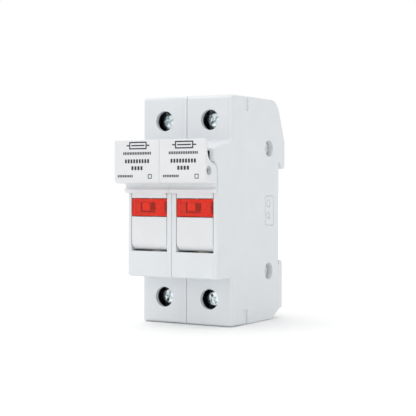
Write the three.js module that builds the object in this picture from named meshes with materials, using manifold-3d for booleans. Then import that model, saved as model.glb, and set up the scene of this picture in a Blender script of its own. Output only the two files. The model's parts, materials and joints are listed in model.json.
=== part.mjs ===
// Two-pole fuse disconnector for 10 x 38 mm cartridge fuses, for a 35 mm rail.
// Millimetres. +X runs across the poles, +Y to the rail, +Z up.
// Heights are above the base. Depths (+Y) are from the front of the 45 mm block
// until the whole device is shifted so that its origin is the base's centre.

import * as THREE from 'three';
import { mergeVertices } from 'three/addons/utils/BufferGeometryUtils.js';
import Module from 'manifold-3d';

const wasm = await Module();
wasm.setup();

// Driving dimensions of the whole device
const POLE_PITCH = 18;
const GAP = 0.3;
const WALL = 1.6;
const HEIGHT = 78;
const HANDLE_FRONT = -7.8;
const TERMINAL_FRONT = 9.7;
const RAIL_PLANE = 44;
const HOOK_REAR = 48.8;
const BLOCK_BOTTOM = 16.4;
const RAIL_TOP_SEAT = 56.1;
const POLE_HALF = (POLE_PITCH - GAP) / 2;
const INNER_HALF = POLE_HALF - WALL;
const SHELL_EDGE = INNER_HALF - GAP;
const ROUND = 48;
const CURVE_STEPS = 10;

// Carrier: its panel closes the front of the block and swings about the pivot
const PIVOT_RADIUS = 3.2;
const PIVOT_Y = PIVOT_RADIUS;
const PIVOT_Z = 25.4 + PIVOT_RADIUS;
const PANEL_HALF = 7;
const PANEL_THICK = 1.6;
const HANDLE_TOP = 62.4;
const HANDLE_FOOT = 48;
const LIP_Z = 44.7;
const HANDLE_REAR = -0.5;
const WINDOW_LOW = 36.8;
const WINDOW_HIGH = 43.1;
const WINDOW_DEPTH = 3;
const CHEEK_INNER = 5.6;
const CHEEK_REAR = 11.8;
const CHEEK_TOP = 45;
const TRUNNION_RADIUS = 1.5;
const TRUNNION_REACH = 8.1;
const TIE_Y = -5.65;
const TIE_Z = 52.1;
const TIE_HOLE = 1.53;

// Fuse
const FUSE_Y = 8.6;
const FUSE_LOW = 18.9;
const FUSE_LENGTH = 38;
const FUSE_HIGH = FUSE_LOW + FUSE_LENGTH;
const CAP_RADIUS = 5.15;
const CAP_LENGTH = 10;
const CAP_WALL = 0.4;
const CAP_END = 0.5;
const TUBE_RADIUS = 4.9;
const TUBE_BORE = 3.1;

// Contacts
const JAW_INNER = CAP_RADIUS + GAP;
const JAW_THICK = 0.8;
const JAW_FRONT = 5;
const TAB_HALF = 3.9;
const BAR_FRONT = 23.7;
const BAR_THICK = 1;
const SLOT_CLEARANCE = 0.4;
const UPPER_JAW = [48.3, 55.7];
const LOWER_JAW = [19.6, 24.6];
const JAW_FLARE = 0.45;
const SPRING_THICK = 0.5;
const SPRING_FRONT = 6.9;
const UPPER_SPRING = [50.2, 54.2];
const LOWER_SPRING = [20.4, 24];
const UPPER_BASE_Y = 14.6;
const LOWER_BASE_Y = 18;

// Terminals
const TERMINAL_Z = [8.9, 69.6];
const DRIVER_HOLE = 3.45;
const HEAD_RADIUS = 3.15;
const HEAD_FRONT = 12.9;
const HEAD_THICK = 3.5;
const SHANK_RADIUS = 2.35;
const CAGE_HALF = 5.2;
const CAGE_SIDE = 1;
const CAGE_FRONT = 21.2;
const CAGE_PLATE = 2.2;
const CAGE_REAR = 33.7;
const CAGE_REAR_PLATE = 1.4;
const CAGE_HEIGHT = 8;
const CHAMBER_REAR = 34.2;
const UPPER_CHAMBER_FLOOR = 64.8;
const LOWER_CHAMBER_ROOF = 13.6;
const WIRE_Y = 28.6;
const WIRE_HOLE = 4;

// Fuse chamber
const CHAMBER_FLOOR = 18;
const CHAMBER_ROOF = 59.4;
const SILL_TOP = 25.1;

// Pole pins
const PIN_Y = 36.5;
const PIN_Z = [17.3, 60.7];
const PIN_HOLE = 2.95;
const PIN_RADIUS = 2.6;
const PIN_RECESS = 1.9;

// Marks on the side faces
const MARK_DEPTH = 0.3;
const MARK_LINE = 0.4;
const INSERT = { y: 33.5, z: 33.3, width: 6.7, height: 10.8, radius: 1 };
const RING_Y = 36;
const RINGS = [{ z: 41.3, radius: 1.5 }, { z: 37, radius: 1.3 }];
const WEDGE_FRONT = 14.4;
const WEDGE_REAR = 20.8;
const WEDGE_DEPTH = 0.5;
const WEDGE_HEIGHT = 5;

// Rail clip
const CLIP_HALF = 8.6;
const CLIP_REAR = 47.55;
const CLIP_TRACK_LOW = 3.4;
const CLIP_TRACK_HIGH = 16.8;
const CLIP_BLOCK_FRONT = 40.6;
const CLIP_FLANGE_REAR = 41.6;
const CLIP_SPRING_Y = 42.2;
const CLIP_NECK_HALF = 4.2;
const CLIP_FLANGE_HALF = 5.8;
const CLIP_BLOCK_LOW = 9.5;
const CLIP_SPRING_RADIUS = 1.1;
const CLIP_SPRING_WIRE = 0.25;
const CLIP_SPRING_TURNS = 5;

const materials = {
  housing: { color: 0xdfe2e5, roughness: 0.55, metalness: 0 },
  carrier: { color: 0xe5e6e8, roughness: 0.5, metalness: 0 },
  lens: { color: 0xe2382c, roughness: 0.2, metalness: 0 },
  board: { color: 0x4a2a22, roughness: 0.7, metalness: 0 },
  lamp: { color: 0xf2e9df, roughness: 0.3, metalness: 0 },
  ceramic: { color: 0xf1efe8, roughness: 0.6, metalness: 0 },
  silver: { color: 0xcfd2d4, roughness: 0.25, metalness: 1 },
  steel: { color: 0xa9b3b8, roughness: 0.35, metalness: 1 },
  pin: { color: 0xd5d8da, roughness: 0.6, metalness: 0 },
};

// --- Solids -------------------------------------------------------------

const SWEEP_ACROSS = new THREE.Matrix4().makeBasis(
  new THREE.Vector3(0, 1, 0),
  new THREE.Vector3(0, 0, 1),
  new THREE.Vector3(1, 0, 0),
);

function toSolid(geometry) {
  const bare = geometry.clone();
  bare.deleteAttribute('normal');
  bare.deleteAttribute('uv');
  const merged = mergeVertices(bare, 1e-4);
  return new wasm.Manifold(new wasm.Mesh({
    numProp: 3,
    vertProperties: new Float32Array(merged.attributes.position.array),
    triVerts: new Uint32Array(merged.index.array),
  }));
}

function toGeometry(solid) {
  const mesh = solid.getMesh();
  const geometry = new THREE.BufferGeometry();
  geometry.setAttribute('position', new THREE.BufferAttribute(mesh.vertProperties, 3));
  geometry.setIndex(new THREE.BufferAttribute(mesh.triVerts, 1));
  return geometry;
}

function box(x0, x1, y0, y1, z0, z1) {
  const geometry = new THREE.BoxGeometry(x1 - x0, y1 - y0, z1 - z0);
  geometry.translate((x0 + x1) / 2, (y0 + y1) / 2, (z0 + z1) / 2);
  return toSolid(geometry);
}

// A shape drawn in (depth, height), swept across the pole from x0 to x1
function across(shape, x0, x1, curveSegments = CURVE_STEPS) {
  const geometry = new THREE.ExtrudeGeometry(shape, {
    depth: x1 - x0,
    bevelEnabled: false,
    curveSegments,
  });
  geometry.applyMatrix4(SWEEP_ACROSS);
  geometry.translate(x0, 0, 0);
  return toSolid(geometry);
}

// A shape drawn in (across, depth), raised from z0 to z1
function upward(shape, z0, z1) {
  const geometry = new THREE.ExtrudeGeometry(shape, {
    depth: z1 - z0,
    bevelEnabled: false,
    curveSegments: CURVE_STEPS,
  });
  geometry.translate(0, 0, z0);
  return toSolid(geometry);
}

function polygon(points) {
  return new THREE.Shape(points.map(([a, b]) => new THREE.Vector2(a, b)));
}

function rodX(radius, x0, x1, y, z, sides = ROUND) {
  const geometry = new THREE.CylinderGeometry(radius, radius, x1 - x0, sides);
  geometry.rotateZ(Math.PI / 2);
  geometry.translate((x0 + x1) / 2, y, z);
  return toSolid(geometry);
}

function rodY(radius, y0, y1, x, z, sides = ROUND) {
  const geometry = new THREE.CylinderGeometry(radius, radius, y1 - y0, sides);
  geometry.translate(x, (y0 + y1) / 2, z);
  return toSolid(geometry);
}

function rodZ(radius, z0, z1, x, y, sides = ROUND) {
  const geometry = new THREE.CylinderGeometry(radius, radius, z1 - z0, sides);
  geometry.rotateX(Math.PI / 2);
  geometry.translate(x, y, (z0 + z1) / 2);
  return toSolid(geometry);
}

// A closed (radius, height) profile turned about a vertical axis at depth y
function turned(profile, y, sides = ROUND) {
  const points = profile.map(([r, z]) => new THREE.Vector2(r, z));
  const geometry = new THREE.LatheGeometry(points, sides);
  geometry.rotateX(Math.PI / 2);
  geometry.translate(0, y, 0);
  return toSolid(geometry);
}

function union(first, ...others) {
  return others.reduce((solid, other) => solid.add(other), first);
}

function cut(solid, ...tools) {
  return tools.reduce((rest, tool) => rest.subtract(tool), solid);
}

// --- Housing ------------------------------------------------------------

// Side outline of the fixed housing, with the rail hook at its upper rear
function housingOutline() {
  const outline = new THREE.Shape();
  outline.moveTo(TERMINAL_FRONT, 0);
  outline.lineTo(38.8, 0);
  outline.lineTo(RAIL_PLANE, 2.6);
  outline.lineTo(RAIL_PLANE, RAIL_TOP_SEAT);
  outline.lineTo(RAIL_PLANE + 0.9, RAIL_TOP_SEAT);
  outline.lineTo(46.4, 53.7);
  outline.lineTo(47.7, 53.7);
  outline.absarc(47.7, 54.8, HOOK_REAR - 47.7, -Math.PI / 2, 0);
  outline.lineTo(HOOK_REAR, 63.4);
  outline.lineTo(44.1, 74.6);
  outline.quadraticCurveTo(42.2, 77.8, 38.8, HEIGHT);
  outline.lineTo(TERMINAL_FRONT, HEIGHT);
  outline.lineTo(TERMINAL_FRONT, 63.4);
  outline.quadraticCurveTo(TERMINAL_FRONT, 61.8, 8.3, 61.7);
  outline.quadraticCurveTo(3.4, 61.8, -1.8, 60);
  outline.quadraticCurveTo(-2.65, 59.7, -2.65, 58.9);
  outline.lineTo(-2.65, 55.2);
  outline.bezierCurveTo(-1.3, 54.7, 0, 54.6, 0, 52.6);
  outline.lineTo(0, BLOCK_BOTTOM);
  outline.lineTo(TERMINAL_FRONT, BLOCK_BOTTOM);
  return outline;
}

// The space that the carrier and the two contacts fill, open at the front
function fuseChamberOutline() {
  return polygon([
    [WALL, CHAMBER_FLOOR],
    [25.6, CHAMBER_FLOOR],
    [25.6, 20.2],
    [20.6, 20.2],
    [20.6, 45],
    [16.6, 47],
    [16.6, 56.6],
    [25.6, 56.6],
    [25.6, CHAMBER_ROOF],
    [9.7, CHAMBER_ROOF],
    [PIVOT_Y, 59.2],
    [-2.65, 58.6],
    [-4, 58.6],
    [-4, SILL_TOP],
    [WALL, SILL_TOP],
  ]);
}

// Shallow wedge on a side face, deepest at its rear edge
function sideWedge(side, zLow, zHigh) {
  const face = side * POLE_HALF;
  const wedge = polygon([
    [face, WEDGE_FRONT],
    [face - side * WEDGE_DEPTH, WEDGE_REAR],
    [face + side, WEDGE_REAR],
    [face + side, WEDGE_FRONT],
  ]);
  return upward(wedge, zLow, zHigh);
}

// Sweeps an outline into a side face, to the depth of the marks there
function sideMark(shape, side, curveSegments) {
  const beyond = side * (POLE_HALF + 1);
  const floor = side * (POLE_HALF - MARK_DEPTH);
  return across(shape, Math.min(beyond, floor), Math.max(beyond, floor), curveSegments);
}

function sideInsertGroove(side) {
  const groove = new THREE.Shape();
  roundedRectangle(groove, INSERT);
  const island = new THREE.Path();
  roundedRectangle(island, {
    y: INSERT.y + MARK_LINE,
    z: INSERT.z + MARK_LINE,
    width: INSERT.width - 2 * MARK_LINE,
    height: INSERT.height - 2 * MARK_LINE,
    radius: INSERT.radius - MARK_LINE,
  });
  groove.holes.push(island);
  return sideMark(groove, side, 4);
}

function roundedRectangle(path, { y, z, width, height, radius }) {
  const right = y + width - radius;
  const top = z + height - radius;
  path.moveTo(y + radius, z);
  path.absarc(right, z + radius, radius, -Math.PI / 2, 0);
  path.absarc(right, top, radius, 0, Math.PI / 2);
  path.absarc(y + radius, top, radius, Math.PI / 2, Math.PI);
  path.absarc(y + radius, z + radius, radius, Math.PI, 1.5 * Math.PI);
}

function sideRing(side, { z, radius }) {
  const ring = new THREE.Shape();
  ring.absarc(RING_Y, z, radius, 0, 2 * Math.PI);
  const island = new THREE.Path();
  island.absarc(RING_Y, z, radius - MARK_LINE, 0, 2 * Math.PI);
  ring.holes.push(island);
  return sideMark(ring, side, CURVE_STEPS);
}

function sideDetails(side) {
  return [
    sideWedge(side, HEIGHT - WEDGE_HEIGHT, HEIGHT + 1),
    sideWedge(side, -1, WEDGE_HEIGHT),
    sideInsertGroove(side),
    ...RINGS.map((ring) => sideRing(side, ring)),
  ];
}

function pinHoles() {
  return PIN_Z.map((z) => rodX(PIN_HOLE, -POLE_HALF - 1, POLE_HALF + 1, PIN_Y, z));
}

function trunnionPocket(side) {
  const inner = side * (INNER_HALF - 0.5);
  const end = side * (TRUNNION_REACH + GAP);
  return rodX(TRUNNION_RADIUS + GAP, Math.min(inner, end), Math.max(inner, end), PIVOT_Y, PIVOT_Z, 24);
}

function terminalChamber(zLow, zHigh) {
  return box(-INNER_HALF, POLE_HALF, TERMINAL_FRONT + WALL, CHAMBER_REAR, zLow, zHigh);
}

function clipSlot(half, front, rear) {
  return box(-half, half, front, rear, CLIP_TRACK_LOW, CLIP_TRACK_HIGH);
}

function makeShell() {
  const beyond = POLE_HALF + 1;
  const chambers = [
    across(fuseChamberOutline(), -INNER_HALF, beyond),
    terminalChamber(UPPER_CHAMBER_FLOOR, HEIGHT - WALL),
    terminalChamber(WALL, LOWER_CHAMBER_ROOF),
    box(-INNER_HALF, beyond, 22.6, RAIL_PLANE - WALL, 22.6, 54.5),
  ];
  const slotHalf = TAB_HALF + SLOT_CLEARANCE;
  const slotFront = BAR_FRONT - SLOT_CLEARANCE;
  const slotRear = BAR_FRONT + BAR_THICK + SLOT_CLEARANCE;
  const slots = [
    box(-slotHalf, slotHalf, slotFront, slotRear, 58, 66),
    box(-slotHalf, slotHalf, slotFront, slotRear, 12, 19),
  ];
  const driverHoles = TERMINAL_Z.map((z) => rodY(DRIVER_HOLE, 8, 13, 0, z));
  const wireHoles = [
    rodZ(WIRE_HOLE, HEIGHT - 3, HEIGHT + 1, 0, WIRE_Y),
    rodZ(WIRE_HOLE, -1, 3, 0, WIRE_Y),
  ];
  const clipTrack = [
    clipSlot(CLIP_NECK_HALF + GAP, CLIP_BLOCK_FRONT, RAIL_PLANE + 1),
    clipSlot(CLIP_FLANGE_HALF + GAP, CLIP_BLOCK_FRONT - 0.4, CLIP_FLANGE_REAR + GAP),
  ];
  return cut(
    across(housingOutline(), -POLE_HALF, SHELL_EDGE),
    ...chambers,
    ...slots,
    ...driverHoles,
    ...wireHoles,
    ...clipTrack,
    ...pinHoles(),
    ...sideDetails(-1),
    trunnionPocket(-1),
  );
}

function makeCover() {
  return cut(
    across(housingOutline(), INNER_HALF, POLE_HALF),
    ...pinHoles(),
    ...sideDetails(1),
    trunnionPocket(1),
  );
}

// --- Carrier ------------------------------------------------------------

// Side outline of the pull handle, with the V lip below its foot
function handleOutline() {
  const outline = new THREE.Shape();
  outline.moveTo(HANDLE_FRONT, HANDLE_TOP);
  outline.lineTo(HANDLE_FRONT, HANDLE_FOOT + 2);
  outline.absarc(HANDLE_FRONT + 2, HANDLE_FOOT + 2, 2, Math.PI, 1.5 * Math.PI);
  outline.lineTo(-2.1, HANDLE_FOOT);
  outline.quadraticCurveTo(-0.9, 47.9, -0.95, 46.75);
  outline.lineTo(-2, 45.95);
  outline.lineTo(-1.95, 45.7);
  outline.lineTo(HANDLE_REAR, LIP_Z);
  outline.lineTo(HANDLE_REAR, 51);
  outline.bezierCurveTo(-0.6, 53.6, -1.8, 54.6, -3.3, 54.75);
  outline.bezierCurveTo(-5.6, 55, -6.7, 57.2, -6.7, 59);
  outline.lineTo(-6.7, 61.4);
  outline.quadraticCurveTo(-6.7, HANDLE_TOP, -7.4, HANDLE_TOP);
  return outline;
}

function neckOutline() {
  return polygon([
    [0, WINDOW_HIGH],
    [PANEL_THICK, WINDOW_HIGH],
    [PANEL_THICK, HANDLE_FOOT + 1.3],
    [HANDLE_REAR - 0.1, HANDLE_FOOT + 1.3],
    [HANDLE_REAR - 0.1, LIP_Z],
    [0, LIP_Z - 0.1],
  ]);
}

// The lower panel curls under, concentric with the pivot
function lowerPanelOutline() {
  const outline = new THREE.Shape();
  outline.moveTo(0, WINDOW_LOW);
  outline.lineTo(0, PIVOT_Z);
  outline.absarc(PIVOT_Y, PIVOT_Z, PIVOT_RADIUS, Math.PI, 1.5 * Math.PI);
  outline.absarc(PIVOT_Y, PIVOT_Z, PIVOT_RADIUS - PANEL_THICK, 1.5 * Math.PI, Math.PI, true);
  outline.lineTo(PANEL_THICK, WINDOW_LOW);
  return outline;
}

function cheekOutline() {
  const outline = new THREE.Shape();
  outline.moveTo(0, WINDOW_LOW);
  outline.lineTo(0, PIVOT_Z);
  outline.absarc(PIVOT_Y, PIVOT_Z, PIVOT_RADIUS, Math.PI, 2 * Math.PI);
  outline.lineTo(CHEEK_REAR, 31);
  outline.lineTo(CHEEK_REAR, CHEEK_TOP);
  outline.lineTo(0.5, CHEEK_TOP);
  outline.lineTo(0.5, WINDOW_HIGH);
  outline.lineTo(WINDOW_DEPTH, WINDOW_HIGH);
  outline.lineTo(WINDOW_DEPTH, WINDOW_LOW);
  return outline;
}

function makeCarrier() {
  const handle = cut(
    across(handleOutline(), -POLE_HALF, POLE_HALF),
    box(-INNER_HALF, INNER_HALF, HANDLE_FRONT + 1.2, 3, HANDLE_FOOT + 1.3, HANDLE_TOP + 1),
  );
  const sides = [-1, 1].flatMap((side) => {
    const span = [side * CHEEK_INNER, side * PANEL_HALF].sort((a, b) => a - b);
    const lip = [side * 4.4, side * PANEL_HALF].sort((a, b) => a - b);
    const stub = [side * (PANEL_HALF - 0.2), side * TRUNNION_REACH].sort((a, b) => a - b);
    return [
      across(cheekOutline(), ...span),
      box(...lip, CHEEK_REAR - 0.3, CHEEK_REAR + 0.8, 33, 44),
      rodX(TRUNNION_RADIUS, ...stub, PIVOT_Y, PIVOT_Z, 24),
    ];
  });
  const carrier = union(
    handle,
    across(neckOutline(), -PANEL_HALF, PANEL_HALF),
    across(lowerPanelOutline(), -PANEL_HALF, PANEL_HALF),
    ...sides,
  );
  return cut(carrier, rodX(TIE_HOLE, -POLE_HALF - 1, POLE_HALF + 1, TIE_Y, TIE_Z, 32));
}

function makeLens() {
  const depth = WINDOW_DEPTH - 0.4;
  const low = WINDOW_LOW + 0.25;
  const high = WINDOW_HIGH - 0.25;
  return cut(
    box(-6.95, 6.95, 0, depth, low, high),
    box(-6, 6, 0.9, depth + 1, low + 0.9, high - 0.9),
  );
}

// --- Fuse ---------------------------------------------------------------

function makeFuseTube() {
  const low = FUSE_LOW + CAP_END + GAP;
  const high = FUSE_HIGH - CAP_END - GAP;
  const seat = CAP_RADIUS - CAP_WALL - GAP;
  const shoulder = CAP_LENGTH + GAP;
  return turned([
    [TUBE_BORE, low],
    [seat, low],
    [seat, FUSE_LOW + shoulder],
    [TUBE_RADIUS, FUSE_LOW + shoulder],
    [TUBE_RADIUS, FUSE_HIGH - shoulder],
    [seat, FUSE_HIGH - shoulder],
    [seat, high],
    [TUBE_BORE, high],
    [TUBE_BORE, low],
  ], FUSE_Y);
}

// direction +1 closes the cup at its top
function makeFuseCap(end, direction) {
  const mouth = end - direction * CAP_LENGTH;
  const floor = end - direction * CAP_END;
  const bore = CAP_RADIUS - CAP_WALL;
  const profile = [
    [0, end],
    [0, floor],
    [bore, floor],
    [bore, mouth],
    [CAP_RADIUS, mouth],
    [CAP_RADIUS, end - direction * 0.4],
    [CAP_RADIUS - 0.4, end],
    [0, end],
  ];
  const ordered = direction > 0 ? profile : profile.reverse();
  return turned(ordered, FUSE_Y);
}

function makeFuseElement() {
  const strip = box(-1.5, 1.5, FUSE_Y - 0.1, FUSE_Y + 0.1, FUSE_LOW + 1.1, FUSE_HIGH - 1.1);
  const middle = (FUSE_LOW + FUSE_HIGH) / 2;
  const notches = [-9, -3, 3, 9].map((dz) => rodY(0.6, FUSE_Y - 1, FUSE_Y + 1, 0, middle + dz, 8));
  return cut(strip, ...notches);
}

// --- Contacts -----------------------------------------------------------

// Plan of a U clip that is open to the front, with flared mouths
function jawPlan(inner, thick, front, base, flare) {
  const outer = inner + thick;
  const bend = front + 1.2;
  const right = [
    [outer, base + thick],
    [outer, bend],
    [outer + flare, front],
    [inner + flare, front],
    [inner, bend],
    [inner, base],
  ];
  const left = right.map(([x, y]) => [-x, y]).reverse();
  return polygon([...right, ...left]);
}

function makeUpperContact() {
  const jaws = upward(jawPlan(JAW_INNER, JAW_THICK, JAW_FRONT, UPPER_BASE_Y, JAW_FLARE), ...UPPER_JAW);
  const rear = UPPER_BASE_Y + JAW_THICK;
  const tab = polygon([
    [UPPER_BASE_Y, 54],
    [rear, 54],
    [rear, 57.5],
    [BAR_FRONT + BAR_THICK, 57.5],
    [BAR_FRONT + BAR_THICK, 74.5],
    [BAR_FRONT, 74.5],
    [BAR_FRONT, 58.5],
    [UPPER_BASE_Y, 58.5],
  ]);
  return union(jaws, across(tab, -TAB_HALF, TAB_HALF));
}

function makeLowerContact() {
  const jaws = upward(jawPlan(JAW_INNER, JAW_THICK, JAW_FRONT, LOWER_BASE_Y, JAW_FLARE), ...LOWER_JAW);
  const rear = LOWER_BASE_Y + JAW_THICK;
  const tab = polygon([
    [LOWER_BASE_Y, 22],
    [LOWER_BASE_Y, 18.3],
    [BAR_FRONT, 18.3],
    [BAR_FRONT, 4],
    [BAR_FRONT + BAR_THICK, 4],
    [BAR_FRONT + BAR_THICK, 19.3],
    [rear, 19.3],
    [rear, 22],
  ]);
  return union(jaws, across(tab, -TAB_HALF, TAB_HALF));
}

function makeContactSpring(base, span) {
  const inner = JAW_INNER + JAW_THICK + GAP;
  const start = base + JAW_THICK + GAP;
  return upward(jawPlan(inner, SPRING_THICK, SPRING_FRONT, start, 0), ...span);
}

// --- Terminals ----------------------------------------------------------

function makeCage(z) {
  const low = z - CAGE_HEIGHT / 2;
  const high = z + CAGE_HEIGHT / 2;
  const window = CAGE_HALF - CAGE_SIDE;
  const front = CAGE_FRONT + CAGE_PLATE;
  return cut(
    box(-CAGE_HALF, CAGE_HALF, CAGE_FRONT, CAGE_REAR, low, high),
    box(-window, window, front, CAGE_REAR - CAGE_REAR_PLATE, low - 1, high + 1),
    rodY(SHANK_RADIUS + GAP, CAGE_FRONT - 1, front + 1, 0, z, 24),
  );
}

function makeScrew(z) {
  const headRear = HEAD_FRONT + HEAD_THICK;
  const recess = HEAD_FRONT + 1.2;
  const cross = [
    box(-2.9, 2.9, HEAD_FRONT - 1, HEAD_FRONT + 0.9, z - 0.45, z + 0.45),
    box(-0.45, 0.45, HEAD_FRONT - 1, recess, z - 1.9, z + 1.9),
    rodY(1.1, HEAD_FRONT - 1, recess, 0, z, 8),
  ];
  return cut(
    union(
      rodY(HEAD_RADIUS, HEAD_FRONT, headRear, 0, z),
      rodY(SHANK_RADIUS, headRear - 0.5, BAR_FRONT - GAP, 0, z, 24),
    ),
    ...cross,
  );
}

// --- Rail clip ----------------------------------------------------------

function clipBlock(half, rear) {
  return box(-half, half, CLIP_BLOCK_FRONT, rear, CLIP_BLOCK_LOW, CLIP_TRACK_HIGH - GAP);
}

function makeRailClip() {
  const front = RAIL_PLANE + GAP;
  const foot = polygon([
    [front, 2.7],
    [CLIP_REAR, 3.6],
    [CLIP_REAR, 19.7],
    [46.8, 20.6],
    [45.5, 20.8],
    [45.1, 20.5],
    [45.1, 19.1],
    [front, 19.1],
  ]);
  return union(
    across(foot, -CLIP_HALF, CLIP_HALF),
    clipBlock(CLIP_NECK_HALF, front + 0.5),
    clipBlock(CLIP_FLANGE_HALF, CLIP_FLANGE_REAR),
  );
}

class Coil extends THREE.Curve {
  constructor(radius, low, high, turns) {
    super();
    this.radius = radius;
    this.low = low;
    this.high = high;
    this.turns = turns;
  }

  getPoint(t, target = new THREE.Vector3()) {
    const angle = 2 * Math.PI * this.turns * t;
    const z = this.low + (this.high - this.low) * t;
    return target.set(this.radius * Math.cos(angle), this.radius * Math.sin(angle), z);
  }
}

function makeClipSpring() {
  const wire = new THREE.Shape();
  wire.absarc(0, 0, CLIP_SPRING_WIRE, 0, 2 * Math.PI);
  const low = CLIP_TRACK_LOW + GAP + CLIP_SPRING_WIRE;
  const high = CLIP_BLOCK_LOW - GAP - CLIP_SPRING_WIRE;
  const path = new Coil(CLIP_SPRING_RADIUS, low, high, CLIP_SPRING_TURNS);
  const geometry = new THREE.ExtrudeGeometry(wire, {
    steps: CLIP_SPRING_TURNS * 9,
    curveSegments: 3,
    bevelEnabled: false,
    extrudePath: path,
  });
  geometry.translate(0, CLIP_SPRING_Y, 0);
  return toSolid(geometry);
}

// --- Assembly -----------------------------------------------------------

function makeMesh(name, solid, finish) {
  const mesh = new THREE.Mesh(toGeometry(solid), new THREE.MeshStandardMaterial(materials[finish]));
  mesh.name = name;
  return mesh;
}

function makePoleParts() {
  const [lowZ, highZ] = TERMINAL_Z;
  return [
    ['housing_shell', makeShell(), 'housing'],
    ['housing_cover', makeCover(), 'housing'],
    ['fuse_carrier', makeCarrier(), 'carrier'],
    ['indicator_lens', makeLens(), 'lens'],
    ['indicator_board', box(-3.9, 1.8, 1.9, 2.4, 38.25, 41.65), 'board'],
    ['indicator_lamp', box(-3.4, -0.5, 1.2, 1.6, 38.9, 41.5), 'lamp'],
    ['indicator_resistor', box(-0.2, 1.6, 1.2, 1.6, 38.9, 41.5), 'board'],
    ['indicator_lead_upper', box(-1.4, -0.6, 2.9, 3.15, 40.2, 49.5), 'silver'],
    ['indicator_lead_lower', box(0.6, 1.4, 2.9, 3.15, 27.6, 39.6), 'silver'],
    ['fuse_tube', makeFuseTube(), 'ceramic'],
    ['fuse_element', makeFuseElement(), 'silver'],
    ['fuse_cap_upper', makeFuseCap(FUSE_HIGH, 1), 'silver'],
    ['fuse_cap_lower', makeFuseCap(FUSE_LOW, -1), 'silver'],
    ['contact_upper', makeUpperContact(), 'silver'],
    ['contact_lower', makeLowerContact(), 'silver'],
    ['contact_spring_upper', makeContactSpring(UPPER_BASE_Y, UPPER_SPRING), 'steel'],
    ['contact_spring_lower', makeContactSpring(LOWER_BASE_Y, LOWER_SPRING), 'steel'],
    ['terminal_cage_upper', makeCage(highZ), 'steel'],
    ['terminal_cage_lower', makeCage(lowZ), 'steel'],
    ['terminal_screw_upper', makeScrew(highZ), 'steel'],
    ['terminal_screw_lower', makeScrew(lowZ), 'steel'],
    ['rail_clip', makeRailClip(), 'carrier'],
    ['rail_clip_spring', makeClipSpring(), 'steel'],
  ];
}

function makePole(side, parts) {
  const pole = new THREE.Group();
  const prefix = side < 0 ? 'left' : 'right';
  pole.position.x = side * POLE_PITCH / 2;
  for (const [name, solid, finish] of parts) {
    pole.add(makeMesh(`${prefix}_${name}`, solid, finish));
  }
  return pole;
}

function makeSharedPins() {
  const reach = POLE_PITCH / 2 + POLE_HALF - PIN_RECESS;
  const [lowZ, highZ] = PIN_Z;
  return [
    makeMesh('pole_pin_upper', rodX(PIN_RADIUS, -reach, reach, PIN_Y, highZ), 'pin'),
    makeMesh('pole_pin_lower', rodX(PIN_RADIUS, -reach, reach, PIN_Y, lowZ), 'pin'),
    makeMesh('handle_tie_pin', rodX(TIE_HOLE - GAP, -reach, reach, TIE_Y, TIE_Z, 32), 'steel'),
  ];
}

const device = new THREE.Group();
const poleParts = makePoleParts();
device.add(makePole(-1, poleParts));
device.add(makePole(1, poleParts));
device.add(...makeSharedPins());
device.position.y = -(HANDLE_FRONT + HOOK_REAR) / 2;

const group = new THREE.Group();
group.add(device);

export default group;
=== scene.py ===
"""Looks of the two-pole fuse holder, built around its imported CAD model.

Shapes are worked out in millimetres in the CAD source's own frame: depth 0 is the front of the
45 mm block and +Y runs to the rail. emit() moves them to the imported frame, in metres.
"""

import json
import math

import bmesh
import bpy
from mathutils import Matrix, Vector

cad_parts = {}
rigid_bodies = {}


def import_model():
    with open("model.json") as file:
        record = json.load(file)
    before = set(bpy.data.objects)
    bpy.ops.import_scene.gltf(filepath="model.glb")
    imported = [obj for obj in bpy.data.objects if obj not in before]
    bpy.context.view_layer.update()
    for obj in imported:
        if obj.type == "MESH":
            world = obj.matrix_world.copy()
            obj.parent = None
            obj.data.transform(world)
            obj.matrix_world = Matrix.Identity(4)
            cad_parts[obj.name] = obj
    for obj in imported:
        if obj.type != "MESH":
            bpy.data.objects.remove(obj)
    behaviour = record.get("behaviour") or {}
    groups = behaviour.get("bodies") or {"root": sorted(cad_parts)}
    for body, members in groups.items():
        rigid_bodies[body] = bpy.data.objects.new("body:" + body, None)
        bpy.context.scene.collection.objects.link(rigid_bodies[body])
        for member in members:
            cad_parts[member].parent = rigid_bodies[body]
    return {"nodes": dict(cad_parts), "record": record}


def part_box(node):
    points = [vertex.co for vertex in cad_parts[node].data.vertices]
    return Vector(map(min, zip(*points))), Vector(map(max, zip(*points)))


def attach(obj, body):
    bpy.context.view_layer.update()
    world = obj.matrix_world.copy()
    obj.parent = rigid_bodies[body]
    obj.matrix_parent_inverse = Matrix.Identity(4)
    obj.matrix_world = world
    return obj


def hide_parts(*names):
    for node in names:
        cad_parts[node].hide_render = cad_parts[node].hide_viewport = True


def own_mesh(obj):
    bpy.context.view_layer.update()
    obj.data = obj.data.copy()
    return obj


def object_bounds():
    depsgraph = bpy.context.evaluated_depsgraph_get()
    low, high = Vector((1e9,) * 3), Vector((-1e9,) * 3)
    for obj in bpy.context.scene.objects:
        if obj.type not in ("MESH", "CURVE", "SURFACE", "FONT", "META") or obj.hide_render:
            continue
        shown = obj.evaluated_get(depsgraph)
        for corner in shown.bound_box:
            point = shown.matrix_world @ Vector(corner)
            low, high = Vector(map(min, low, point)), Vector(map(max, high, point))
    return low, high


for leftover in list(bpy.data.objects):
    bpy.data.objects.remove(leftover, do_unlink=True)

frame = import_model()
cad_low, cad_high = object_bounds()

MM = 0.001

# The CAD source's driving sizes, in millimetres. X is measured from a pole's centre where it says HALF.
HANDLE_REACH = 7.8
FRONT = cad_low.y / MM + HANDLE_REACH
POLE_X = {"left": -9.0, "right": 9.0}
POLE_HALF = 8.85
INNER_HALF = 7.25
HEIGHT = cad_high.z / MM

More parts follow.
